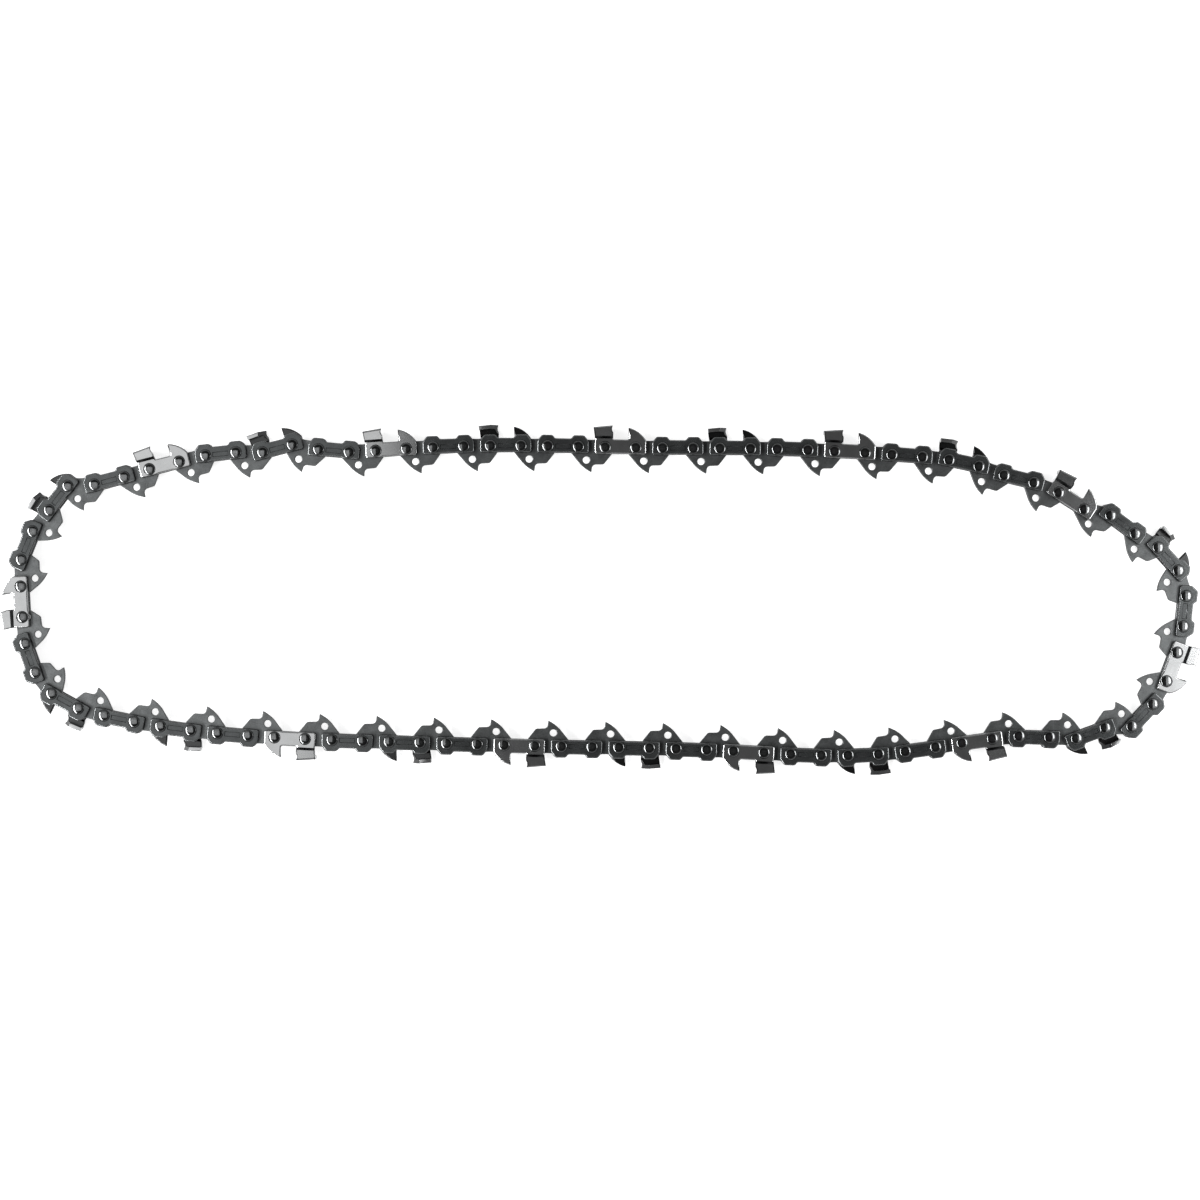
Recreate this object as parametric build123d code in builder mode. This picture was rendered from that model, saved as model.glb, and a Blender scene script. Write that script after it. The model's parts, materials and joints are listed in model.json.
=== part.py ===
from build123d import *
import math
import os

# Low-profile saw chain, closed into a loop and lying on its side.
# Every second link is a drive link, whose tang runs in the groove of a guide bar.
# Two side plates and two peened rivets tie each drive link to the next. The plates are two tie straps,
# or a cutter on one side and a tie strap on the other.
# A link is drawn with x along the travel, y outward from the loop, z across the chain, and its origin
# midway between its two rivets. In the loop's frame z is up and z = 0 is the surface it lies on.

# Chain, in mm
pitch = 9.32  # mean distance from rivet to rivet
plate_span = 9.95  # rivet to rivet in a pair of side plates
drive_span = 2 * pitch - plate_span  # rivet to rivet in a drive link
link_pairs = 46
kerf = 6.3  # across the outer corners of left and right cutters
gauge = 1.3  # thickness of a drive link
plate_thickness = 1.25
side_clearance = 0.1  # between a drive link and a side plate
end_gap = 1.8  # between the ends of neighbouring side plates

# Rivets
hub_radius = 2.1
hub_clearance = 0.06
open_pivot_clearance = 0.5  # at the one rivet where the loop of hinges is opened
shank_radius = 1.5  # where a rivet passes through a plate
head_radius = 2.0
head_height = 0.7

# Drive link
link_eye_wall = 0.95  # round each rivet hole
link_waist = 2.4  # top edge midway between the rivets
flank_angle = 45  # where the tang leaves the round ends, below the rivet line
tang_belly = (-3.85, -5.4)
tang_bulge = (-1.65, -7.25)
tang_tip = (0.1, -8.2)
hook_root = (0.25, -6.8)
hook_bulge = (0.62, -5.95)
hook_end = (1.55, -5.6)
tang_shoulder = (4.05, -5.5)
oil_hole_place = (-1.65, -4.2)
oil_hole_radius = 1.15

# Tie strap, with heights from the rivet line and lengths from its rivet
strap_end_top = 1.7
strap_low = 2.2
strap_corner = 0.9
strap_waist_low = 2.0
strap_waist_top = 2.6
bump_top = 3.7
bump_outer = 1.9
bump_inner = 1.6
bump_slope = 0.7
groove_width = 1.6  # coined into the outer face between the rivets
groove_depth = 0.25
groove_margin = 0.4  # from the end of the groove to a rivet head

# Cutter, with lengths from the rear rivet for the tooth and from the front rivet for the depth gauge
tooth_top = 7.1
heel_drop = 0.65  # fall of the top plate from the cutting corner to the heel
heel_relief = 0.35  # how much further in the side of the tooth stands at the heel
heel_foot = 3.3
heel_lean = 9  # degrees that the heel leans back
tooth_front = 2.6
tooth_foot = 1.6  # height where the tooth starts inside its plate
set_low = 2.8
set_high = 3.6
corner_radius = 0.6  # of the outer edge between the side and the top of a tooth
top_plate_reach = 1.0  # of the top plate past the middle of the chain
file_radius = 2.0
file_angle = 30
file_edge = 2.2  # the deepest point of the filed face
file_above_top = 0.2  # share of the file's diameter that stands above the top plate
gullet_floor = 2.6
gullet_rear = 2.4
gullet_corner = 0.6
gauge_tip = (-2.45, 6.5)
gauge_foot = -2.2
gauge_brow = (0.3, 5.45)
gauge_toe_height = 2.3

# Lay of the rivet line, clockwise from the left end, up to one common scale that the links set
lay = [
    (-187.5, -5.5),
    (-188.0, 4.0),
    (-188.0, 13.0),
    (-184.5, 22.0),
    (-179.0, 29.0),
    (-173.0, 37.0),
    (-164.0, 37.5),
    (-154.5, 40.0),
    (-136.5, 45.0),
    (-118.0, 48.0),
    (-109.5, 48.0),
    (-100.0, 50.5),
    (-91.5, 49.0),
    (-73.0, 48.5),
    (-44.5, 50.0),
    (11.5, 49.5),
    (57.5, 49.0),
    (104.5, 46.5),
    (123.0, 43.5),
    (131.5, 40.5),
    (149.0, 35.0),
    (157.5, 29.5),
    (166.0, 27.5),
    (174.0, 21.5),
    (181.5, 17.0),
    (190.5, 1.5),
    (189.5, -8.5),
    (184.0, -26.5),
    (179.5, -34.0),
    (173.0, -41.0),
    (164.0, -41.5),
    (154.5, -45.0),
    (146.0, -44.5),
    (127.5, -45.0),
    (90.5, -50.0),
    (43.5, -49.0),
    (-12.5, -47.5),
    (-68.5, -46.0),
    (-114.5, -44.0),
    (-161.0, -37.5),
    (-178.0, -30.5),
    (-183.5, -23.5),
]

# Sizes that follow from these
plate_gap = gauge + 2 * side_clearance
plate_inside = plate_gap / 2
plate_outside = plate_inside + plate_thickness
half_kerf = kerf / 2
middle_height = max(half_kerf, plate_outside + head_height)
strap_end = (drive_span - end_gap) / 2  # from a rivet out to the cut end of its plate
link_end_radius = hub_radius + hub_clearance + link_eye_wall
groove_length = plate_span - 2 * (head_radius + groove_margin)
file_length = 4 * kerf  # more than enough to pass right through a tooth
rear_rivet, front_rivet = -plate_span / 2, plate_span / 2
rivet_places = ((rear_rivet, 0), (front_rivet, 0))
drive_rivets = (-drive_span / 2, drive_span / 2)


# Drive links
def drive_link_face(front_hole_radius):
    """Outline of a drive link, with its two rivet holes and its oil hole."""
    rear, front = drive_rivets
    root_x = link_end_radius * math.cos(math.radians(flank_angle))
    root_y = -link_end_radius * math.sin(math.radians(flank_angle))
    arc = 90 + flank_angle
    with BuildSketch() as face:
        with BuildLine():
            CenterArc((rear, 0), link_end_radius, 90, arc)
            ThreePointArc((rear, link_end_radius), (0, link_waist), (front, link_end_radius))
            CenterArc((front, 0), link_end_radius, -flank_angle, arc)
            Polyline((front + root_x, root_y), tang_shoulder, hook_end)
            ThreePointArc(hook_end, hook_bulge, hook_root)
            Line(hook_root, tang_tip)
            ThreePointArc(tang_tip, tang_bulge, tang_belly)
            Line(tang_belly, (rear - root_x, root_y))
        make_face()
        with Locations((rear, 0)):
            Circle(hub_radius + hub_clearance, mode=Mode.SUBTRACT)
        with Locations((front, 0)):
            Circle(front_hole_radius, mode=Mode.SUBTRACT)
        with Locations(oil_hole_place):
            Circle(oil_hole_radius, mode=Mode.SUBTRACT)
    return face.sketch


with BuildPart() as drive_link:
    with BuildSketch():
        add(drive_link_face(hub_radius + hub_clearance))
    extrude(amount=gauge / 2, both=True)

with BuildPart() as closing_drive_link:
    with BuildSketch():
        add(drive_link_face(hub_radius + open_pivot_clearance))
    extrude(amount=gauge / 2, both=True)


# Rivet, turned with a hub that the drive link turns on, and peened to a domed head over each plate
with BuildPart() as rivet_half:
    with BuildSketch(Plane.XZ):
        with BuildLine():
            crown = (0, plate_outside + head_height)
            head_edge = (head_radius, plate_outside)
            Polyline(
                crown,
                (0, 0),
                (hub_radius, 0),
                (hub_radius, plate_inside),
                (shank_radius, plate_inside),
                (shank_radius, plate_outside),
                head_edge,
            )
            TangentArc(crown, head_edge, tangent=(1, 0))
        make_face()
    revolve(axis=Axis.Z)


# Side plates, each with its half of the two rivets
def plate_end_low(rivet_x, outward):
    """Lower edge of a plate's end, from the waist out to the foot of its end cut."""
    return [
        (rivet_x - outward * (bump_inner + bump_slope), -strap_waist_low),
        (rivet_x - outward * bump_inner, -strap_low),
        (rivet_x + outward * (strap_end - strap_corner), -strap_low),
        (rivet_x + outward * strap_end, strap_corner - strap_low),
    ]


with BuildPart() as strap_side:
    with BuildSketch(Plane.XY.offset(plate_inside)):
        with BuildLine():
            Polyline(
                (0, -strap_waist_low),
                *plate_end_low(front_rivet, 1),
                (front_rivet + strap_end, strap_end_top),
                (front_rivet + bump_outer, bump_top),
                (front_rivet - bump_inner, bump_top),
                (front_rivet - bump_inner - bump_slope, strap_waist_top),
                (0, strap_waist_top),
            )
            mirror(about=Plane.YZ)
        make_face()
    extrude(amount=plate_thickness)
    with BuildSketch(Plane.XY.offset(plate_outside)):
        Rectangle(groove_length, groove_width)
    extrude(amount=-groove_depth, mode=Mode.SUBTRACT)
    with Locations(*rivet_places):
        add(rivet_half.part)


# Tooth of a right-hand cutter: a side plate set outward and bent over into a top plate
def tooth_section(drop, relief):
    """Section across the tooth, drawn with x up from the rivet line and y across the chain."""
    top = tooth_top - drop
    side = half_kerf - relief
    with BuildSketch() as section:
        with BuildLine():
            Polyline(
                (tooth_foot, plate_outside),
                (set_low, plate_outside),
                (set_high, side),
                (top - corner_radius, side),
            )
            CenterArc((top - corner_radius, side - corner_radius), corner_radius, 0, 90)
            Polyline(
                (top, side - corner_radius),
                (top, -top_plate_reach),
                (top - plate_thickness, -top_plate_reach),
                (top - plate_thickness, side - plate_thickness),
                (set_high, side - plate_thickness),
                (set_low, plate_inside),
                (tooth_foot, plate_inside),
                (tooth_foot, plate_outside),
            )
        make_face()
    return section.sketch


heel_rear = heel_foot + (tooth_top - set_low) * math.tan(math.radians(heel_lean))
heel_plane = Plane(
    origin=(rear_rivet - heel_foot, set_low, 0),
    x_dir=(0, 0, 1),
    z_dir=(math.cos(math.radians(heel_lean)), math.sin(math.radians(heel_lean)), 0),
)
file_x = rear_rivet + file_edge + file_radius / math.cos(math.radians(file_angle))
file_x_at_middle = file_x - half_kerf * math.tan(math.radians(file_angle))
file_y = tooth_top + (2 * file_above_top - 1) * file_radius

with BuildPart() as tooth:
    with BuildSketch(Plane.YZ.offset(rear_rivet + tooth_front)):
        add(tooth_section(0, 0))
    with BuildSketch(Plane.YZ.offset(rear_rivet - heel_rear)):
        add(tooth_section(heel_drop, heel_relief))
    loft(ruled=True)
    split(bisect_by=heel_plane, keep=Keep.TOP)
    with Locations(Location((file_x_at_middle, file_y, 0), (0, file_angle, 0))):
        Cylinder(file_radius, file_length, mode=Mode.SUBTRACT)

# Cutter: plate with the gullet and the depth gauge, and the tooth over its rear rivet
with BuildPart() as cutter_side:
    with BuildSketch(Plane.XY.offset(plate_inside)):
        with BuildLine():
            foot = (front_rivet + gauge_foot, gullet_floor)
            tip = (front_rivet + gauge_tip[0], gauge_tip[1])
            brow = (front_rivet + gauge_brow[0], gauge_brow[1])
            toe = (front_rivet + strap_end, gauge_toe_height)
            Polyline(
                (rear_rivet - strap_end, strap_end_top),
                *reversed(plate_end_low(rear_rivet, -1)),
                *plate_end_low(front_rivet, 1),
                toe,
            )
            ThreePointArc(toe, brow, tip)
            FilletPolyline(
                tip, foot, (rear_rivet + gullet_rear, gullet_floor), radius=gullet_corner
            )
            Polyline(
                (rear_rivet + gullet_rear, gullet_floor),
                (rear_rivet - heel_foot, gullet_floor),
                (rear_rivet - strap_end, strap_end_top),
            )
        make_face()
    extrude(amount=plate_thickness)
    add(tooth.part)
    with Locations(*rivet_places):
        add(rivet_half.part)

# Riveted pairs of side plates
with BuildPart() as tie_pair:
    add(strap_side.part)
    mirror(about=Plane.XY)

with BuildPart() as right_cutter_pair:
    mirror(strap_side.part, about=Plane.XY)
    add(cutter_side.part)

with BuildPart() as left_cutter_pair:
    mirror(right_cutter_pair.part, about=Plane.XY)

# Places of the rivets: chords of the two spans walked round the lay, scaled so that the loop closes
with BuildLine() as route:
    Spline(*lay, periodic=True)
route_edge = route.edges()[0]
solver_nudge = 0.001  # share of a guess between the first two places tried
solver_accuracy = 1e-12


def zero_of(function, guess):
    """Where a smooth function is zero, by secant steps that start beside a guess."""
    before, value_before = guess, function(guess)
    place = guess * (1 + solver_nudge)
    value = function(place)
    while value != value_before and abs(place - before) > solver_accuracy:
        step = value * (place - before) / (value - value_before)
        before, value_before, place = place, value, place - step
        value = function(place)
    return place


def walk(scale):
    """Positions of the rivets along the route, with the position after the last one at the end."""
    found = [0.0]
    for link in range(2 * link_pairs):
        chord = drive_span if link % 2 else plate_span
        start = found[-1]
        here = route_edge @ (start % 1)
        guess = start + chord / scale / route_edge.length
        found.append(zero_of(lambda u: (route_edge @ (u % 1) - here).length * scale - chord, guess))
    return found


first_scale = 2 * pitch * link_pairs / route_edge.length
route_scale = zero_of(lambda scale: walk(scale)[-1] - 1, first_scale)
rivets = [(route_edge @ (u % 1)) * route_scale for u in walk(route_scale)[:-1]]


def link_place(start, end):
    """Where a link lies between two rivets, at the height of the chain's middle."""
    middle = (start + end) / 2
    along = end - start
    turn = math.degrees(math.atan2(along.Y, along.X))
    return Location((middle.X, middle.Y, middle_height), (0, 0, turn))


# Units of the loop: a riveted pair of plates with the drive link that it leads
cutters = link_pairs // 2
units = []
for number in range(link_pairs):
    first = 2 * number
    next_first = (first + 2) % len(rivets)
    cutter, is_tie = divmod(number, 2)
    # an odd number of cutters leaves two left-hand ones in a row where the loop closes
    is_right = cutter % 2 == 0 and cutter < cutters - cutters % 2
    if is_tie:
        kind, plates = "tie_strap", tie_pair.part
    elif is_right:
        kind, plates = "cutter_right", right_cutter_pair.part
    else:
        kind, plates = "cutter_left", left_cutter_pair.part
    closing = number == link_pairs - 1
    drive = closing_drive_link.part if closing else drive_link.part
    plate_place = link_place(rivets[first], rivets[first + 1])
    drive_place = link_place(rivets[first + 1], rivets[next_first])
    units.append((f"{kind}_{number + 1:02d}", plates, plate_place, drive, drive_place))

placed = Compound([plates.moved(place) for _, plates, place, _, _ in units])
box = placed.bounding_box()
centring = Location((-box.center().X, -box.center().Y, 0))

os.makedirs("parts", exist_ok=True)
for name, plates, plate_place, drive, drive_place in units:
    with BuildPart() as unit:
        with Locations(centring * plate_place):
            add(plates)
        with Locations(centring * drive_place):
            add(drive)
    unit.part.label = name
    export_step(unit.part, f"parts/{name}.step")
print(f"{len(units)} units, route scale {route_scale:.4f}")
print(f"box {box.size.X:.1f} x {box.size.Y:.1f} x {box.size.Z:.2f}")
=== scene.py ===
import json
import math

import bmesh
import bpy
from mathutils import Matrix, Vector


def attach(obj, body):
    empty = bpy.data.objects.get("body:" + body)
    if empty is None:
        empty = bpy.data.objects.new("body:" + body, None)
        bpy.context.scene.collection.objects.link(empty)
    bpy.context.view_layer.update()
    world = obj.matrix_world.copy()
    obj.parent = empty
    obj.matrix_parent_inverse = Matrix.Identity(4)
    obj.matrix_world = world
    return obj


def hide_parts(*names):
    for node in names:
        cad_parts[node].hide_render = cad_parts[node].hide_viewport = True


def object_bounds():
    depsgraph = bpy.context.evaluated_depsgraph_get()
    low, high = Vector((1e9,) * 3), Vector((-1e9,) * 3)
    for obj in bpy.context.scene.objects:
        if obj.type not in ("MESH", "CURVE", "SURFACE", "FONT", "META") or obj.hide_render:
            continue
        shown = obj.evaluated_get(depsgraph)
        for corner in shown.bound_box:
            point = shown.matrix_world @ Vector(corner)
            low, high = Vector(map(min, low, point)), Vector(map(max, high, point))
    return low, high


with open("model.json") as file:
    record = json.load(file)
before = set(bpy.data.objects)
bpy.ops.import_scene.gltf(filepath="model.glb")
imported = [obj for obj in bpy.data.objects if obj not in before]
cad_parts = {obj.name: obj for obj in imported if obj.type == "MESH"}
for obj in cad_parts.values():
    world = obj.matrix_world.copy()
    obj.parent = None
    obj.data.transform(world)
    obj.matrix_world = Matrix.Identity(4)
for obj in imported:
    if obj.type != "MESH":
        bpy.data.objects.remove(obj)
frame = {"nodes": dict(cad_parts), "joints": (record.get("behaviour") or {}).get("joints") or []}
cad_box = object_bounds()

# A closed loop of saw chain on a white table, seen from straight above.
# Each kind of link is made once, in mm, with x along the travel, y outward from the loop, z across the
# chain and its origin midway between its rivets. Then it is laid on each pair of rivets of the frame, in
# metres.
MM = 0.001
scene = bpy.context.scene
collection = scene.collection
middle_z = (cad_box[0].z + cad_box[1].z) / 2

# Chain, in mm
PLATE_SPAN = 9.95  # rivet to rivet in a pair of side plates
DRIVE_SPAN = 8.69  # rivet to rivet in a drive link
LINK = 1.3  # thickness of a drive link
PLATE = 1.25  # thickness of a side plate
PLATE_INSIDE = 0.75  # from the middle of the chain
PLATE_OUTSIDE = PLATE_INSIDE + PLATE
HALF_KERF = 3.15  # from the middle of the chain to the side of a tooth
REAR, FRONT = -PLATE_SPAN / 2, PLATE_SPAN / 2

# Rivets
HUB = 2.1
HOLE_PLAY = 0.06
OPEN_PLAY = 0.5  # in the one eye where the loop of hinges is opened
HEAD = 2.0
HEAD_HEIGHT = 0.7
HEAD_SEGMENTS = 40
HEAD_RINGS = 20
HEAD_RIM = -0.02  # where the ball of a head is cut, as a share of its radius
HEAD_CLEAR = 0.1  # height over a plate past which only heads lie
HEAD_APART = 0.5  # added to a head's width: points further apart are on two heads

# Rounding of the stamped edges, and of the corners of the outlines
PLATE_EDGE = 0.4
LINK_EDGE = 0.15
TOOTH_EDGE = 0.06
EDGE_STEPS = 2
LONGEST_CUT = 0.45  # share of a side that the rounding of a corner may take
SHORTEST_CUT = 0.01

# Drive link
EYE_WALL = 0.95  # round a rivet hole
LINK_WAIST = 2.4
FLANK = 45  # degrees below the rivet line where the tang leaves the round ends
TANG_BELLY = (-3.85, -5.4)
TANG_BULGE = (-1.65, -7.25)
TANG_TIP = (0.1, -8.2)
TANG_TIP_CUT = 0.15
HOOK_ROOT = (0.25, -6.8)
HOOK_BULGE = (0.62, -5.95)
HOOK_END = (1.55, -5.6)
TANG_SHOULDER = (4.05, -5.5)
TANG_SHOULDER_CUT = 0.5
OIL_HOLE_PLACE = (-1.65, -4.2)
OIL_HOLE = 1.15

# Side plates, with heights from the rivet line and lengths from a rivet
PLATE_END = 3.445
END_TOP = 1.7
END_CORNER = 0.45
PLATE_LOW = 2.2
WAIST_LOW = 2.0
WAIST_TOP = 2.6
SHOULDER_TOP = 3.7
SHOULDER_OUTER = 1.9
SHOULDER_INNER = 1.6
SHOULDER_SLOPE = 0.7
LOW_CUT = 0.3
END_CUT = 0.7
STRAP_CUT = 0.5
SHOULDER_CUT = 0.6
GROOVE_HALF_LENGTH = 2.575
GROOVE_HALF_WIDTH = 0.8
GROOVE_WALL = 0.17
GROOVE_DEPTH = 0.25

# Limits for telling vertices and faces apart
MERGE = 0.0005
NEAR = 0.001
SURFACE = 0.01
FLAT = 0.99
SHARP = math.radians(40)


# Outlines
def arc(centre, radius, start, end, steps):
    """Points on an arc from one angle to another, in degrees."""
    turns = [math.radians(start + (end - start) * i / steps) for i in range(steps + 1)]
    return [(centre[0] + radius * math.cos(t), centre[1] + radius * math.sin(t)) for t in turns]


def circle(centre, radius, steps=32):
    """Points round a circle."""
    return arc(centre, radius, 0, 360, steps)[:-1]


def arc_through(first, middle, last, steps):
    """Points on the arc through three points."""
    a, b, c = (Vector(p) for p in (first, middle, last))
    double = 2 * (a.x * (b.y - c.y) + b.x * (c.y - a.y) + c.x * (a.y - b.y))
    aa, bb, cc = (p.length_squared for p in (a, b, c))
    centre = Vector(
        (
            (aa * (b.y - c.y) + bb * (c.y - a.y) + cc * (a.y - b.y)) / double,
            (aa * (c.x - b.x) + bb * (a.x - c.x) + cc * (b.x - a.x)) / double,
        )
    )
    angles = [math.degrees(math.atan2(p.y - centre.y, p.x - centre.x)) for p in (a, b, c)]
    sweep = (angles[2] - angles[0]) % 360
    if (angles[1] - angles[0]) % 360 > sweep:
        sweep -= 360
    return arc(centre, (a - centre).length, angles[0], angles[0] + sweep, steps)


def rounded(outline, steps=4):
    """A closed outline of (x, y, cut), with each corner rounded off from that distance before it."""
    result = []
    befores, afters = outline[-1:] + outline[:-1], outline[1:] + outline[:1]
    for before, corner, after in zip(befores, outline, afters):
        middle = Vector(corner[:2])
        back, on = Vector(before[:2]) - middle, Vector(after[:2]) - middle
        cut = min(corner[2], LONGEST_CUT * back.length, LONGEST_CUT * on.length)
        if cut < SHORTEST_CUT:
            result.append(tuple(middle))
            continue
        start, end = middle + back.normalized() * cut, middle + on.normalized() * cut
        for i in range(steps + 1):
            t = i / steps
            result.append(tuple(start * (1 - t) ** 2 + middle * 2 * t * (1 - t) + end * t**2))
    return result


def with_cut(points, cut=0):
    """The same points, each with one rounding distance."""
    return [(x, y, cut) for x, y in points]


def plate_low(rivet, outward):
    """Lower edge of a plate's end, from the waist out to the foot of its end cut."""
    return [
        (rivet - outward * (SHOULDER_INNER + SHOULDER_SLOPE), -WAIST_LOW, LOW_CUT),
        (rivet - outward * SHOULDER_INNER, -PLATE_LOW, LOW_CUT),
        (rivet + outward * (PLATE_END - END_CORNER), -PLATE_LOW, END_CUT),
        (rivet + outward * PLATE_END, END_CORNER - PLATE_LOW, END_CUT),
    ]


def drive_link_outlines(front_play):
    """Outline of a drive link, its two rivet holes and its oil hole."""
    rear, front = -DRIVE_SPAN / 2, DRIVE_SPAN / 2
    eye = HUB + HOLE_PLAY + EYE_WALL
    outline = rounded(
        with_cut(arc((rear, 0), eye, 90, 180 + FLANK, steps=14))
        + with_cut(arc_through(TANG_BELLY, TANG_BULGE, TANG_TIP, steps=8)[:-1])
        + with_cut([TANG_TIP], TANG_TIP_CUT)
        + with_cut(arc_through(HOOK_ROOT, HOOK_BULGE, HOOK_END, steps=6))
        + with_cut([TANG_SHOULDER], TANG_SHOULDER_CUT)
        + with_cut(arc((front, 0), eye, -FLANK, 90, steps=14))
        + with_cut(arc_through((front, eye), (0, LINK_WAIST), (rear, eye), steps=10)[1:-1])
    )
    return [
        outline,
        circle((rear, 0), HUB + HOLE_PLAY),
        circle((front, 0), HUB + front_play),
        circle(OIL_HOLE_PLACE, OIL_HOLE),
    ]


def strap_outline():
    """Outline of a tie strap, with a raised shoulder over each rivet."""
    half = [
        *plate_low(FRONT, 1),
        (FRONT + PLATE_END, END_TOP, STRAP_CUT),
        (FRONT + SHOULDER_OUTER, SHOULDER_TOP, SHOULDER_CUT),
        (FRONT - SHOULDER_INNER, SHOULDER_TOP, SHOULDER_CUT),
        (FRONT - SHOULDER_INNER - SHOULDER_SLOPE, WAIST_TOP, STRAP_CUT),
    ]
    return rounded(half + [(-x, y, cut) for x, y, cut in reversed(half)])


# Plates
def plate(outlines, low, high, edge):
    """A plate between two heights with rounded edges: the first outline, cut by the others. Its two flat
    sides are marked as such, so that they stay flat in shading."""
    curve = bpy.data.curves.new("outline", "CURVE")
    curve.dimensions = "2D"
    curve.fill_mode = "BOTH"
    curve.extrude = (high - low) / 2 - edge
    curve.bevel_depth = edge
    curve.bevel_resolution = EDGE_STEPS
    curve.offset = -edge
    for points in outlines:
        spline = curve.splines.new("POLY")
        spline.points.add(len(points) - 1)
        for place, (x, y) in zip(spline.points, points):
            place.co = (x, y, 0, 1)
        spline.use_cyclic_u = True
    holder = bpy.data.objects.new("outline", curve)
    collection.objects.link(holder)
    graph = bpy.context.evaluated_depsgraph_get()
    mesh = bpy.data.meshes.new_from_object(holder.evaluated_get(graph))
    made = bmesh.new()
    made.from_mesh(mesh)
    bpy.data.objects.remove(holder)
    bpy.data.curves.remove(curve)
    bpy.data.meshes.remove(mesh)
    bmesh.ops.remove_doubles(made, verts=made.verts, dist=MERGE)
    bmesh.ops.translate(made, verts=made.verts, vec=(0, 0, (low + high) / 2))
    made.normal_update()
    flat = made.faces.layers.int.new("flat")
    for face in made.faces:
        face[flat] = int(abs(face.normal.z) > FLAT)
    return made


def sliced(made, axis, places):
    """Adds edges where planes across one axis cut the mesh."""
    normal = Vector((axis == "x", axis == "y", 0))
    for place in places:
        everything = made.verts[:] + made.edges[:] + made.faces[:]
        bmesh.ops.bisect_plane(made, geom=everything, plane_co=normal * place, plane_no=normal)


def master(made, name, mirrored=False):
    """An object from a plate, mirrored across the chain if asked, with sharp edges round its flat sides."""
    if mirrored:
        bmesh.ops.scale(made, verts=made.verts, vec=(1, 1, -1))
    bmesh.ops.recalc_face_normals(made, faces=made.faces)
    flat = made.faces.layers.int["flat"]
    for face in made.faces:
        face.smooth = True
    for edge in made.edges:
        sides = edge.link_faces
        alike = len(sides) == 2 and sides[0][flat] == sides[1][flat]
        edge.smooth = alike and edge.calc_face_angle(0) < SHARP
    made.faces.layers.int.remove(flat)
    mesh = bpy.data.meshes.new(name)
    made.to_mesh(mesh)
    made.free()
    thing = bpy.data.objects.new(name, mesh)
    collection.objects.link(thing)
    return thing


def drive_link_plate(front_play):
    """A drive link in the middle of the chain."""
    return plate(drive_link_outlines(front_play), -LINK / 2, LINK / 2, LINK_EDGE)


def strap_plate():
    """A tie strap on the near side, with the groove coined into its outer face."""
    made = plate([strap_outline()], PLATE_INSIDE, PLATE_OUTSIDE, PLATE_EDGE)
    length, width = GROOVE_HALF_LENGTH, GROOVE_HALF_WIDTH
    floor_length, floor_width = length - GROOVE_WALL, width - GROOVE_WALL
    sliced(made, "x", (-length, -floor_length, floor_length, length))
    sliced(made, "y", (-width, -floor_width, floor_width, width))
    for vert in made.verts:
        within = abs(vert.co.x) < floor_length + NEAR and abs(vert.co.y) < floor_width + NEAR
        if within and vert.co.z > PLATE_OUTSIDE - SURFACE:
            vert.co.z -= GROOVE_DEPTH
    return made


# Cutter: a blank whose flap is bent out and over into the tooth, then filed
GULLET = 2.6
GULLET_CUT = 0.25
GAUGE_TIP = (FRONT - 2.45, 6.5)
GAUGE_TIP_CUT = 0.15
GAUGE_BROW = (FRONT + 0.3, 5.45)
GAUGE_TOE = (FRONT + PLATE_END, 2.3)
GAUGE_TOE_CUT = 0.4
GAUGE_FOOT = (FRONT - 2.2, GULLET)
GAUGE_FOOT_CUT = 0.7
TOOTH_TOP = 7.1
TOOTH_FRONT = REAR + 2.6
TOP_REACH = 1.0  # of the top plate past the middle of the chain
SET_LOW = 2.8  # where the flap leaves its plate
SET_HIGH = 3.6
HEEL_FOOT = REAR - 3.3
HEEL_CUT = 0.1
HEEL_LEAN = math.tan(math.radians(9))
HEEL_REAR = HEEL_FOOT - (TOOTH_TOP - SET_LOW) * HEEL_LEAN
HEEL_DROP = 0.65
HEEL_RELIEF = 0.35
OUTER_BEND = 0.6
INNER_BEND = 0.1
BEND_STEPS = 6
FILE = 2.0
FILE_SLANT = math.radians(30)
FILE_WIDTH = FILE / math.cos(FILE_SLANT)  # half of it, as cut along the chain
FILE_DEPTH = 0.6  # of the file's middle below the top of the tooth, as a share of its radius
FILE_HEIGHT = TOOTH_TOP - FILE_DEPTH * FILE
FILE_EDGE = REAR + 2.2  # the deepest place of the filed face
FILE_PASSES = 3
FLAP_FRONT = FRONT - 4  # between the flap and the depth gauge
FLAP_CUT = 0.05
FLAP_SLICE = 0.3


def tooth_path(drop, relief):
    """Outer and inner points of the tooth's section, each as height and distance across, up to the top's
    edge."""
    top, side = TOOTH_TOP - drop, HALF_KERF - relief
    path = [
        ((SET_LOW, PLATE_OUTSIDE), (SET_LOW, PLATE_INSIDE)),
        ((SET_HIGH, side), (SET_HIGH, side - PLATE)),
    ]
    bends = ((0, OUTER_BEND), (PLATE, INNER_BEND))
    for step in range(BEND_STEPS + 1):
        turn = math.radians(90 * step / BEND_STEPS)
        up, over = 1 - math.sin(turn), 1 - math.cos(turn)
        path.append(tuple((top - cut - r * up, side - cut - r * over) for cut, r in bends))
    path.append(((top, -TOP_REACH), (top - PLATE, -TOP_REACH)))
    return [(Vector(outer), Vector(inner)) for outer, inner in path]


FRONT_PATH = tooth_path(0, 0)
HEEL_PATH = tooth_path(HEEL_DROP, HEEL_RELIEF)
REACH = [SET_LOW]  # how far up the flat blank each point of the path lies
for (outer, inner), (next_outer, next_inner) in zip(FRONT_PATH, FRONT_PATH[1:]):
    REACH.append(REACH[-1] + ((next_outer + next_inner) - (outer + inner)).length / 2)


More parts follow.
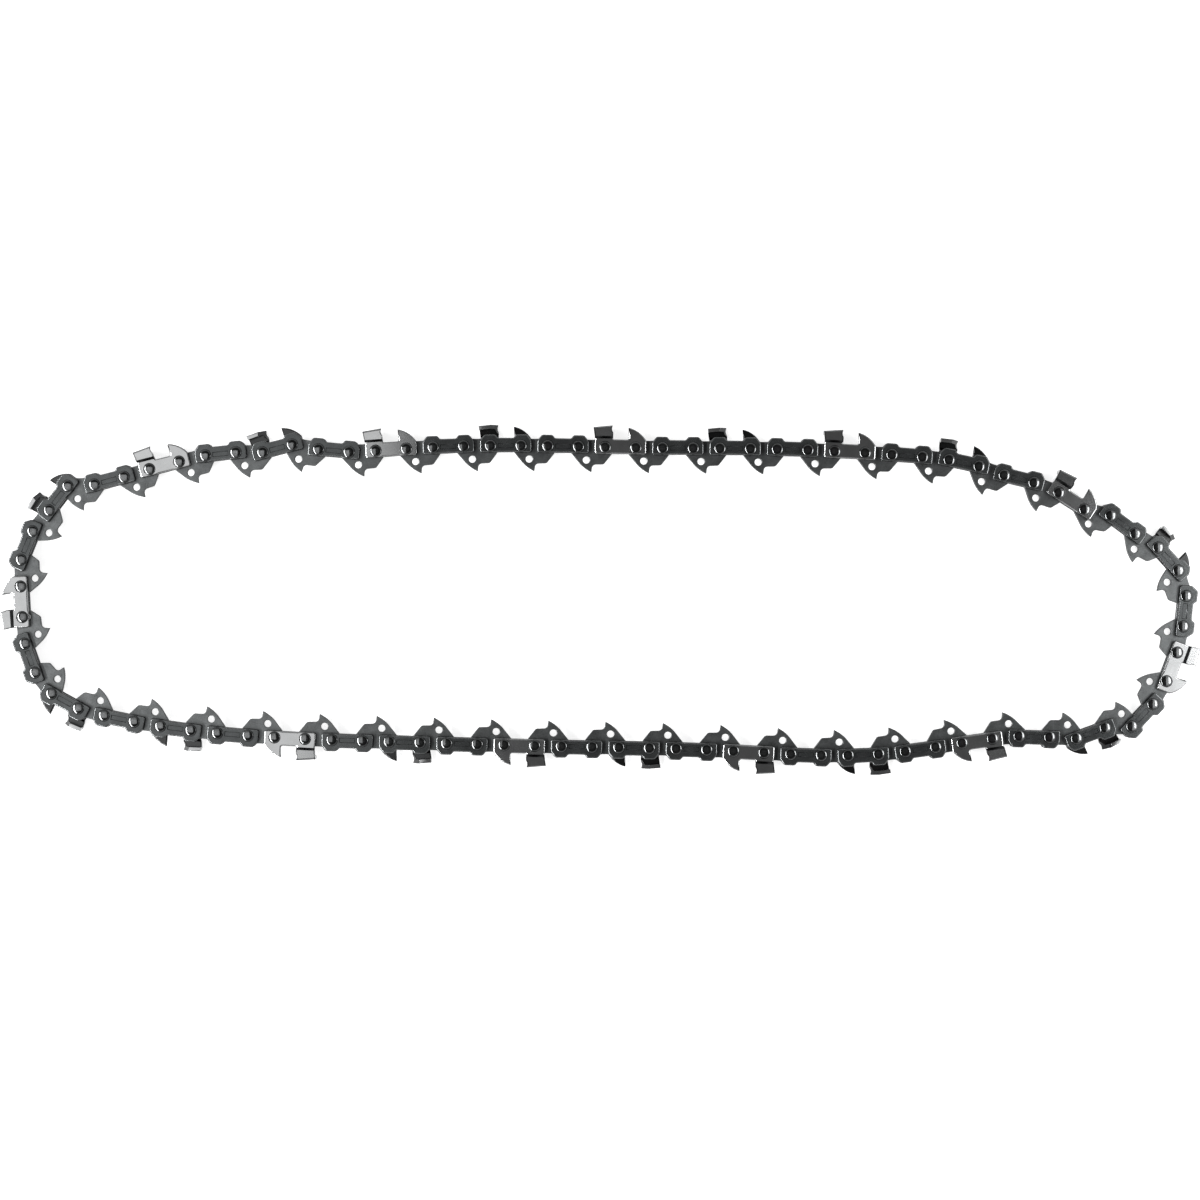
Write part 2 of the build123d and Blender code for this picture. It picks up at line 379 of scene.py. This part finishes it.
def filed_front(height, across):
    """Where the filed face of a tooth lies along the chain."""
    q = (height - FILE_HEIGHT) / FILE
    if abs(q) >= 1:
        return TOOTH_FRONT
    middle = FILE_EDGE + FILE_WIDTH + (across - HALF_KERF) * math.tan(FILE_SLANT)
    return min(TOOTH_FRONT, middle - FILE_WIDTH * math.sqrt(1 - q * q))


def sharpened(place, low, high, keep):
    """A place near either end of a range, with its distance from that end cut down to a share."""
    if place - low < PLATE_EDGE:
        return low + keep * (place - low)
    if high - place < PLATE_EDGE:
        return high - keep * (high - place)
    return place


def bent(place):
    """Where a point of the flap comes to lie once it is sharpened, bent and filed."""
    x, reach, z = place
    keep = 1 + (TOOTH_EDGE / PLATE_EDGE - 1) * min(1, (reach - SET_LOW) / PLATE_EDGE)
    x = sharpened(x, HEEL_FOOT, TOOTH_FRONT, keep)
    z = sharpened(z, PLATE_INSIDE, PLATE_OUTSIDE, keep)
    reach = sharpened(reach, 0, REACH[-1], keep)
    step = max(i for i in range(len(REACH) - 1) if REACH[i] <= reach)
    t = (reach - REACH[step]) / (REACH[step + 1] - REACH[step])
    out = (z - PLATE_INSIDE) / PLATE
    ends = []
    for path in (FRONT_PATH, HEEL_PATH):
        outer, inner = (path[step][side].lerp(path[step + 1][side], t) for side in (0, 1))
        ends.append(inner.lerp(outer, out))
    share = (x - HEEL_FOOT) / (TOOTH_FRONT - HEEL_FOOT)
    for _ in range(FILE_PASSES):
        # the fall to the heel depends on the place along the chain, which the file moves
        back = (TOOTH_FRONT - x) / (TOOTH_FRONT - HEEL_REAR)
        height, across = ends[0].lerp(ends[1], back)
        heel = HEEL_FOOT - (height - SET_LOW) * HEEL_LEAN
        x = heel + share * (filed_front(height, across) - heel)
    return x, height, across


def cutter_plate():
    """A right-hand cutter on the near side."""
    brow = arc_through(GAUGE_TOE, GAUGE_BROW, GAUGE_TIP, steps=12)
    blank = [
        (REAR - PLATE_END, END_TOP, LOW_CUT),
        *reversed(plate_low(REAR, -1)),
        *plate_low(FRONT, 1),
        (*brow[0], GAUGE_TOE_CUT),
        *with_cut(brow[1:-1]),
        (*GAUGE_TIP, GAUGE_TIP_CUT),
        (*GAUGE_FOOT, GAUGE_FOOT_CUT),
        (TOOTH_FRONT, GULLET, GULLET_CUT),
        (TOOTH_FRONT, REACH[-1], FLAP_CUT),
        (HEEL_FOOT, REACH[-1], FLAP_CUT),
        (HEEL_FOOT, GULLET, HEEL_CUT),
    ]
    made = plate([rounded(blank)], PLATE_INSIDE, PLATE_OUTSIDE, PLATE_EDGE)
    flap = REACH[-1] - SET_LOW
    steps = math.ceil(flap / FLAP_SLICE)
    evenly = [SET_LOW + flap * i / steps for i in range(1, steps)]
    sliced(made, "y", sorted(set(REACH[:-1] + evenly)))
    for vert in made.verts:
        if vert.co.y > SET_LOW and vert.co.x < FLAP_FRONT:
            vert.co = bent(vert.co)
    return made


# Nodes
def socket(tree, name, kind, value=None, way="INPUT"):
    """Adds a named socket to a tree, with its default."""
    made = tree.interface.new_socket(name, in_out=way, socket_type=kind)
    if value is not None:
        made.default_value = value


def node(tree, kind, links=None, **settings):
    """Adds a node, sets it up, and feeds its inputs from sockets or plain values."""
    made = tree.nodes.new(kind)
    for name, value in settings.items():
        setattr(made, name, value)
    for name, value in (links or {}).items():
        into = made.inputs[name]
        if isinstance(value, bpy.types.NodeSocket):
            tree.links.new(value, into)
        else:
            into.default_value = value
    return made


def maths(tree, operation, *values):
    """The result of one operation on sockets or plain numbers."""
    return node(tree, "ShaderNodeMath", dict(enumerate(values)), operation=operation).outputs[0]


def ramp(tree, value, start, end, low=0.0, high=1.0):
    """Runs from low to high while a value runs from start to end."""
    limits = {"From Min": start, "From Max": end, "To Min": low, "To Max": high}
    return node(tree, "ShaderNodeMapRange", {"Value": value, **limits}).outputs[0]


def height_of(tree, vector):
    """The upward part of a vector."""
    return node(tree, "ShaderNodeSeparateXYZ", {"Vector": vector}).outputs["Z"]


# Geometry Nodes
def finished(tree, instances, finish):
    """Ends a tree: makes its instances real and gives them their material."""
    real = node(tree, "GeometryNodeRealizeInstances", {"Geometry": instances})
    done = node(tree, "GeometryNodeSetMaterial", {"Geometry": real.outputs[0], "Material": finish})
    node(tree, "NodeGroupOutput", {"Geometry": done.outputs[0]})
    return tree


def laid_links():
    """Lays one kind of link on points, turned by each point's own angle."""
    tree = bpy.data.node_groups.new("laid_links", "GeometryNodeTree")
    socket(tree, "Points", "NodeSocketGeometry")
    socket(tree, "Link", "NodeSocketObject")
    socket(tree, "Size", "NodeSocketFloat", MM)
    socket(tree, "Finish", "NodeSocketMaterial")
    socket(tree, "Geometry", "NodeSocketGeometry", way="OUTPUT")
    given = node(tree, "NodeGroupInput").outputs
    link = node(tree, "GeometryNodeObjectInfo", {"Object": given["Link"]})
    turn = node(tree, "GeometryNodeInputNamedAttribute", {"Name": "turn"}, data_type="FLOAT")
    angles = node(tree, "ShaderNodeCombineXYZ", {"Z": turn.outputs["Attribute"]})
    rotation = node(tree, "FunctionNodeEulerToRotation", {"Euler": angles.outputs[0]})
    laid = node(
        tree,
        "GeometryNodeInstanceOnPoints",
        {
            "Points": given["Points"],
            "Instance": link.outputs["Geometry"],
            "Rotation": rotation.outputs[0],
            "Scale": given["Size"],
        },
    )
    return finished(tree, laid.outputs[0], given["Finish"])


def peened_rivets():
    """Puts a rivet on each point: a hub between the plates and a domed head over each plate."""
    tree = bpy.data.node_groups.new("peened_rivets", "GeometryNodeTree")
    socket(tree, "Points", "NodeSocketGeometry")
    socket(tree, "Head Radius", "NodeSocketFloat", HEAD)
    socket(tree, "Head Height", "NodeSocketFloat", HEAD_HEIGHT)
    socket(tree, "Hub Radius", "NodeSocketFloat", HUB)
    socket(tree, "Plate Inside", "NodeSocketFloat", PLATE_INSIDE)
    socket(tree, "Plate Outside", "NodeSocketFloat", PLATE_OUTSIDE)
    socket(tree, "Segments", "NodeSocketInt", HEAD_SEGMENTS)
    socket(tree, "Rings", "NodeSocketInt", HEAD_RINGS)
    socket(tree, "Size", "NodeSocketFloat", MM)
    socket(tree, "Finish", "NodeSocketMaterial")
    socket(tree, "Geometry", "NodeSocketGeometry", way="OUTPUT")
    given = node(tree, "NodeGroupInput").outputs
    # the dome, cut from a ball
    ball = node(
        tree,
        "GeometryNodeMeshUVSphere",
        {"Segments": given["Segments"], "Rings": given["Rings"], "Radius": 1.0},
    )
    height = height_of(tree, node(tree, "GeometryNodeInputPosition").outputs[0])
    below = node(tree, "FunctionNodeCompare", {"A": height, "B": HEAD_RIM}, operation="LESS_THAN")
    dome = node(
        tree,
        "GeometryNodeDeleteGeometry",
        {"Geometry": ball.outputs[0], "Selection": below.outputs[0]},
    )
    smooth = node(tree, "GeometryNodeSetShadeSmooth", {"Geometry": dome.outputs[0]})
    # a head on each side, and the hub
    size = node(
        tree,
        "ShaderNodeCombineXYZ",
        {"X": given["Head Radius"], "Y": given["Head Radius"], "Z": given["Head Height"]},
    )
    lift = node(tree, "ShaderNodeCombineXYZ", {"Z": given["Plate Outside"]})
    near = node(
        tree,
        "GeometryNodeTransform",
        {"Geometry": smooth.outputs[0], "Translation": lift.outputs[0], "Scale": size.outputs[0]},
    )
    half_turn = (math.pi, 0, 0)
    far = node(tree, "GeometryNodeTransform", {"Geometry": near.outputs[0], "Rotation": half_turn})
    depth = maths(tree, "MULTIPLY", given["Plate Inside"], 2.0)
    hub = node(
        tree,
        "GeometryNodeMeshCylinder",
        {"Vertices": given["Segments"], "Radius": given["Hub Radius"], "Depth": depth},
    )
    whole = node(tree, "GeometryNodeJoinGeometry")
    for part in (near, far, hub):
        tree.links.new(part.outputs[0], whole.inputs[0])
    laid = node(
        tree,
        "GeometryNodeInstanceOnPoints",
        {"Points": given["Points"], "Instance": whole.outputs[0], "Scale": given["Size"]},
    )
    return finished(tree, laid.outputs[0], given["Finish"])


def grown(name, points, turns, tree, **given):
    """A piece from a tree that is run on a few points, as a plain mesh."""
    mesh = bpy.data.meshes.new(name + "_points")
    mesh.from_pydata(points, [], [])
    mesh.attributes.new("turn", "FLOAT", "POINT").data.foreach_set("value", turns)
    holder = bpy.data.objects.new(name + "_points", mesh)
    collection.objects.link(holder)
    modifier = holder.modifiers.new("grown", "NODES")
    modifier.node_group = tree
    for item in tree.interface.items_tree:
        if item.name in given:
            modifier[item.identifier] = given[item.name]
    holder.update_tag()
    graph = bpy.context.evaluated_depsgraph_get()
    made = bpy.data.meshes.new_from_object(holder.evaluated_get(graph), depsgraph=graph)
    made.name = name
    if "turn" in made.attributes:
        made.attributes.remove(made.attributes["turn"])
    bpy.data.objects.remove(holder)
    bpy.data.meshes.remove(mesh)
    piece = bpy.data.objects.new(name, made)
    collection.objects.link(piece)
    return piece


# Materials
CLOUD = {"Scale": 260.0, "Detail": 3.0, "Roughness": 0.55}
GRIT = {"Scale": 2600.0, "Detail": 2.0, "Roughness": 0.6}
GRIT_DEPTH = 0.00004
NOISE_MEAN = 0.5
TONE_SHARE = 2.0  # of the unevenness that the colour takes on
ROUGHNESS_SHARE = 0.5  # of the unevenness that the roughness takes on
# each tone, and how level a surface is where it starts and where it has taken over
TONES = (
    ("Wall Color", 0.25, 0.45),
    ("Edge Color", 0.72, 0.85),
    ("Face Color", 0.96, 0.995),
)


def mixed(tree, share, first, second):
    """A colour that goes from the first to the second with a share."""
    made = node(tree, "ShaderNodeMix", {"Factor": share}, data_type="RGBA")
    inputs = [place for place in made.inputs if place.type == "RGBA"]
    tree.links.new(first, inputs[0])
    tree.links.new(second, inputs[1])
    return next(place for place in made.outputs if place.type == "RGBA")


def steel_group():
    """Worked steel: mottled and finely grained, with a tone for flat faces, rounded edges, slanted walls and
    upright sides, so that light and shade are partly painted in by how each surface is tilted, and with
    painted shade in the dark wall tone on the faces that look towards the middle of the chain."""
    tree = bpy.data.node_groups.new("worked_steel", "ShaderNodeTree")
    socket(tree, "Face Color", "NodeSocketColor", (0.07, 0.075, 0.077, 1))
    socket(tree, "Edge Color", "NodeSocketColor", (0.5, 0.52, 0.53, 1))
    socket(tree, "Wall Color", "NodeSocketColor", (0.02, 0.022, 0.023, 1))
    socket(tree, "Side Color", "NodeSocketColor", (0.02, 0.022, 0.023, 1))
    socket(tree, "Roughness", "NodeSocketFloat", 0.3)
    socket(tree, "Mottle", "NodeSocketFloat", 0.25)
    socket(tree, "Grain", "NodeSocketFloat", 0.2)
    socket(tree, "Inside Shade", "NodeSocketFloat", 0.0)
    socket(tree, "Middle Height", "NodeSocketFloat", 0.0)
    socket(tree, "Color", "NodeSocketColor", way="OUTPUT")
    socket(tree, "Roughness", "NodeSocketFloat", way="OUTPUT")
    socket(tree, "Height", "NodeSocketFloat", way="OUTPUT")
    given = node(tree, "NodeGroupInput").outputs
    place = node(tree, "ShaderNodeTexCoord").outputs
    where = place["Object"]
    # how far the tone is off its mean
    cloud, grit = (
        node(tree, "ShaderNodeTexNoise", {"Vector": where, **noise}).outputs[0] for noise in (CLOUD, GRIT)
    )
    mottle = maths(tree, "MULTIPLY", maths(tree, "SUBTRACT", cloud, NOISE_MEAN), given["Mottle"])
    grain = maths(tree, "MULTIPLY", maths(tree, "SUBTRACT", grit, NOISE_MEAN), given["Grain"])
    uneven = maths(tree, "ADD", mottle, grain)
    gain = maths(tree, "MULTIPLY_ADD", uneven, TONE_SHARE, 1.0)
    # the tone, by how level the surface is: the nearly black walls and sides are painted shade, partly the
    # dark stamped steel, and edges lighter than the faces are a painted highlight, edges darker than the
    # faces a painted shade
    up = height_of(tree, place["Normal"])
    level = maths(tree, "ABSOLUTE", up)
    tone = given["Side Color"]
    for color, start, full in TONES:
        tone = mixed(tree, ramp(tree, level, start, full), tone, given[color])
    # a face that looks towards the middle of the chain is an inner one, and takes the dark wall tone by a
    # share: painted shade
    above = maths(tree, "SUBTRACT", height_of(tree, where), given["Middle Height"])
    inner = maths(tree, "LESS_THAN", maths(tree, "MULTIPLY", above, up), 0.0)
    inside_shade = maths(tree, "MULTIPLY", inner, given["Inside Shade"])
    tone = mixed(tree, inside_shade, tone, given["Wall Color"])
    shaded = node(tree, "ShaderNodeVectorMath", {0: tone, "Scale": gain}, operation="SCALE").outputs[0]
    rough = maths(tree, "MULTIPLY", uneven, ROUGHNESS_SHARE)
    rough = maths(tree, "ADD", given["Roughness"], rough)
    node(tree, "NodeGroupOutput", {"Color": shaded, "Roughness": rough, "Height": grit})
    return tree


WORKED_STEEL = steel_group()


def steel(name, face, edge, wall, roughness, mottle, grain, bump=0, metal=1.0, inside_shade=0.0, side=None):
    """A metal that takes its colour, roughness and grain from the worked steel group."""
    made = bpy.data.materials.new(name)
    made.use_nodes = True
    tree = made.node_tree
    shader = tree.nodes["Principled BSDF"]
    group = node(tree, "ShaderNodeGroup", node_tree=WORKED_STEEL)
    for key, value in (
        ("Face Color", (*face, 1)),
        ("Edge Color", (*edge, 1)),
        ("Wall Color", (*wall, 1)),
        ("Side Color", (*(side or wall), 1)),
        ("Roughness", roughness),
        ("Mottle", mottle),
        ("Grain", grain),
        ("Inside Shade", inside_shade),
        ("Middle Height", middle_z),
    ):
        group.inputs[key].default_value = value
    if bump:
        relief = node(
            tree,
            "ShaderNodeBump",
            {"Height": group.outputs["Height"], "Strength": bump, "Distance": GRIT_DEPTH},
        )
        tree.links.new(relief.outputs[0], shader.inputs["Normal"])
    tree.links.new(group.outputs["Color"], shader.inputs["Base Color"])
    tree.links.new(group.outputs["Roughness"], shader.inputs["Roughness"])
    shader.inputs["Metallic"].default_value = metal
    return made


# Tie straps: rounded edges twice as light as the faces are a painted highlight along the plate ends, and the
# nearly black walls are painted shade, partly the dark stamped steel
STRAP_STEEL = steel(
    "blued_strap_steel",
    face=(0.12, 0.127, 0.129),
    edge=(0.24, 0.25, 0.253),
    wall=(0.02, 0.021, 0.022),
    roughness=0.26,
    mottle=0.3,
    grain=0.2,
    bump=0.08,
    metal=0.8,
)
# Drive links: the nearly black walls and sides are painted shade, partly the dark stamped steel
LINK_STEEL = steel(
    "blued_link_steel",
    face=(0.165, 0.173, 0.175),
    edge=(0.18, 0.189, 0.191),
    wall=(0.02, 0.021, 0.022),
    roughness=0.34,
    mottle=0.4,
    grain=0.4,
    bump=0.3,
    metal=0.75,
)
# Cutters: the faces that look towards the middle of the chain take nine tenths of the dark wall tone as
# painted shade, and the nearly black slanted walls are painted shade too
CUTTER_STEEL = steel(
    "chromed_cutter_steel",
    face=(0.75, 0.76, 0.765),
    edge=(0.75, 0.76, 0.765),
    wall=(0.03, 0.031, 0.032),
    roughness=0.22,
    mottle=0.1,
    grain=0.0,
    inside_shade=0.9,
    side=(0.42, 0.426, 0.428),
)
# Rivets: each dome's flat top is painted lighter than its rounded rim, a painted highlight, and the rim and
# steep foot are painted darker, a painted shade ring
RIVET_STEEL = steel(
    "polished_rivet_steel",
    face=(0.3, 0.308, 0.312),
    edge=(0.18, 0.185, 0.187),
    wall=(0.02, 0.021, 0.022),
    roughness=0.1,
    mottle=0.3,
    grain=0.8,
    bump=0.15,
)

# The units of the loop, and where their rivets lie
names = sorted(frame["nodes"], key=lambda name: int(name[-2:]))
hinges = {joint["child"]: Vector(joint["pos_m"]) for joint in frame["joints"]}


def rivets_of(name):
    """Centres of a unit's two rivets, from the heads on the side that has no tooth."""
    side = -1 if name.startswith("cutter_right") else 1
    heads = [
        vert.co
        for vert in frame["nodes"][name].data.vertices
        if (vert.co.z - middle_z) * side > (PLATE_OUTSIDE + HEAD_CLEAR) * MM
    ]
    found = []
    for first in (True, False):
        head = [p for p in heads if ((p - heads[0]).length < (2 * HEAD + HEAD_APART) * MM) == first]
        across, along = [p.x for p in head], [p.y for p in head]
        x, y = (min(across) + max(across)) / 2, (min(along) + max(along)) / 2
        found.append(Vector((x, y, middle_z)))
    return found


pairs = {}
for name in names:
    pivot = hinges.get(name)
    ends = rivets_of(name)
    if pivot is None:
        # the root turns on nothing, so its second rivet is the one by its neighbour's first
        pivot = hinges[names[1]]
        ends.sort(key=lambda p: -(p.xy - pivot.xy).length)
    else:
        ends.sort(key=lambda p: (p.xy - pivot.xy).length)
    pairs[name] = ends


def between(start, end):
    """Middle and angle of a link between two rivets."""
    along = end - start
    return (start + end) / 2, math.atan2(along.y, along.x)


# Pieces
strap_near = master(strap_plate(), "strap_near")
strap_far = master(strap_plate(), "strap_far", mirrored=True)
cutter_right = master(cutter_plate(), "cutter_right")
cutter_left = master(cutter_plate(), "cutter_left", mirrored=True)
drive_link = master(drive_link_plate(HOLE_PLAY), "drive_link")
open_drive_link = master(drive_link_plate(OPEN_PLAY), "open_drive_link")
masters = [strap_near, strap_far, cutter_right, cutter_left, drive_link, open_drive_link]
# the near and the far plate of each kind of unit, with what they are called there
side_plates = {
    "cutter_right": (("cutter", cutter_right), ("strap", strap_far)),
    "cutter_left": (("strap", strap_near), ("cutter", cutter_left)),
    "tie_strap": (("near_strap", strap_near), ("far_strap", strap_far)),
}
lay_links = laid_links()
set_rivets = peened_rivets()


def settle(piece, name):
    """Lets a piece ride on its unit's body, in place of the unit's own solid."""
    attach(piece, name)
    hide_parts(name)


def link_piece(title, name, link, spot, finish):
    """One link of a unit."""
    place, turn = spot
    piece = grown(title, [place], [turn], lay_links, Link=link, Size=MM, Finish=finish)
    settle(piece, name)


for number, name in enumerate(names):
    kind, mark = name[:-3], name[-2:]
    start, end = pairs[name]
    ahead = pairs[names[(number + 1) % len(names)]][0]
    for title, link in side_plates[kind]:
        is_cutter = title == "cutter"
        finish = CUTTER_STEEL if is_cutter else STRAP_STEEL
        link_piece(f"{title}_{mark}", name, link, between(start, end), finish)
    closing = number == len(names) - 1
    drive = open_drive_link if closing else drive_link
    link_piece(f"drive_link_{mark}", name, drive, between(end, ahead), LINK_STEEL)
    rivets = grown(f"rivets_{mark}", [start, end], [0, 0], set_rivets, Size=MM, Finish=RIVET_STEEL)
    settle(rivets, name)

for thing in masters:
    mesh = thing.data
    bpy.data.objects.remove(thing)
    bpy.data.meshes.remove(mesh)

# White table, which also looks white to the camera and in reflections
TABLE = 6.0  # half its width, in metres
TABLE_GLOW = 0.75
corners = [(-TABLE, -TABLE, 0), (TABLE, -TABLE, 0), (TABLE, TABLE, 0), (-TABLE, TABLE, 0)]
table = bpy.data.meshes.new("table")
table.from_pydata(corners, [], [(0, 1, 2, 3)])
floor = bpy.data.objects.new("table", table)
collection.objects.link(floor)
white = bpy.data.materials.new("white_table")
white.use_nodes = True
tree = white.node_tree
shader = tree.nodes["Principled BSDF"]
shader.inputs["Base Color"].default_value = (0.85, 0.85, 0.85, 1)
shader.inputs["Roughness"].default_value = 0.9
shader.inputs["Specular IOR Level"].default_value = 0.0
rays = node(tree, "ShaderNodeLightPath").outputs
seen = maths(tree, "MAXIMUM", rays["Is Camera Ray"], rays["Is Glossy Ray"])
seen = maths(tree, "MAXIMUM", seen, rays["Is Transmission Ray"])
shader.inputs["Emission Color"].default_value = (1, 1, 1, 1)
tree.links.new(maths(tree, "MULTIPLY", seen, TABLE_GLOW), shader.inputs["Emission Strength"])
table.materials.append(white)

# Light: a dim room that is lighter near the floor, a long strip far off on the left, a short one close by
# on the right, and light panels close over the two ends of the loop
world = bpy.data.worlds.new("room")
scene.world = world
world.use_nodes = True
tree = world.node_tree
rise = height_of(tree, node(tree, "ShaderNodeTexCoord").outputs["Generated"])
walls = ramp(tree, rise, start=0.3, end=0.8, low=0.6, high=0.035)
ceiling = ramp(tree, rise, start=0.9, end=0.97, low=0.0, high=0.02)
tree.links.new(maths(tree, "ADD", walls, ceiling), tree.nodes["Background"].inputs["Color"])


def lamp(name, place, target, size, brightness):
    """A rectangular lamp that faces a target, with its brightness as seen from there."""
    light = bpy.data.lights.new(name, "AREA")
    light.shape = "RECTANGLE"
    light.size, light.size_y = size
    light.energy = brightness * math.pi * light.size * light.size_y
    thing = bpy.data.objects.new(name, light)
    thing.location = place
    thing.rotation_euler = (Vector(target) - Vector(place)).to_track_quat("-Z", "Y").to_euler()
    thing.visible_camera = False
    collection.objects.link(thing)


lamp("left_strip", place=(-0.9, -0.25, 0.85), target=(0, 0, 0), size=(1.6, 0.15), brightness=21.0)
lamp("right_strip", place=(0.33, 0.0, 0.2), target=(0.1, 0, 0), size=(0.2, 0.07), brightness=6.0)
lamp("left_panel", place=(-0.188, 0, 0.2), target=(-0.188, 0, 0), size=(0.194, 0.21), brightness=0.62)
lamp("right_panel", place=(0.28, 0, 0.1), target=(0.28, 0, 0), size=(0.16, 0.22), brightness=0.82)

# Camera, straight above, with the loop across the whole frame
CAMERA_HEIGHT = 0.65  # over the middle of the chain, in metres
FRAME_MARGIN = 1.003
camera = bpy.data.cameras.new("camera")
camera.sensor_width = 36
view = bpy.data.objects.new("camera", camera)
collection.objects.link(view)
frame_width = FRAME_MARGIN * (cad_box[1].x - cad_box[0].x)
centre = (cad_box[0] + cad_box[1]) / 2
view.location = (centre.x, centre.y, centre.z + CAMERA_HEIGHT)
camera.lens = camera.sensor_width * CAMERA_HEIGHT / frame_width
camera.clip_start = 0.01
scene.camera = view

scene.view_settings.view_transform = "Standard"
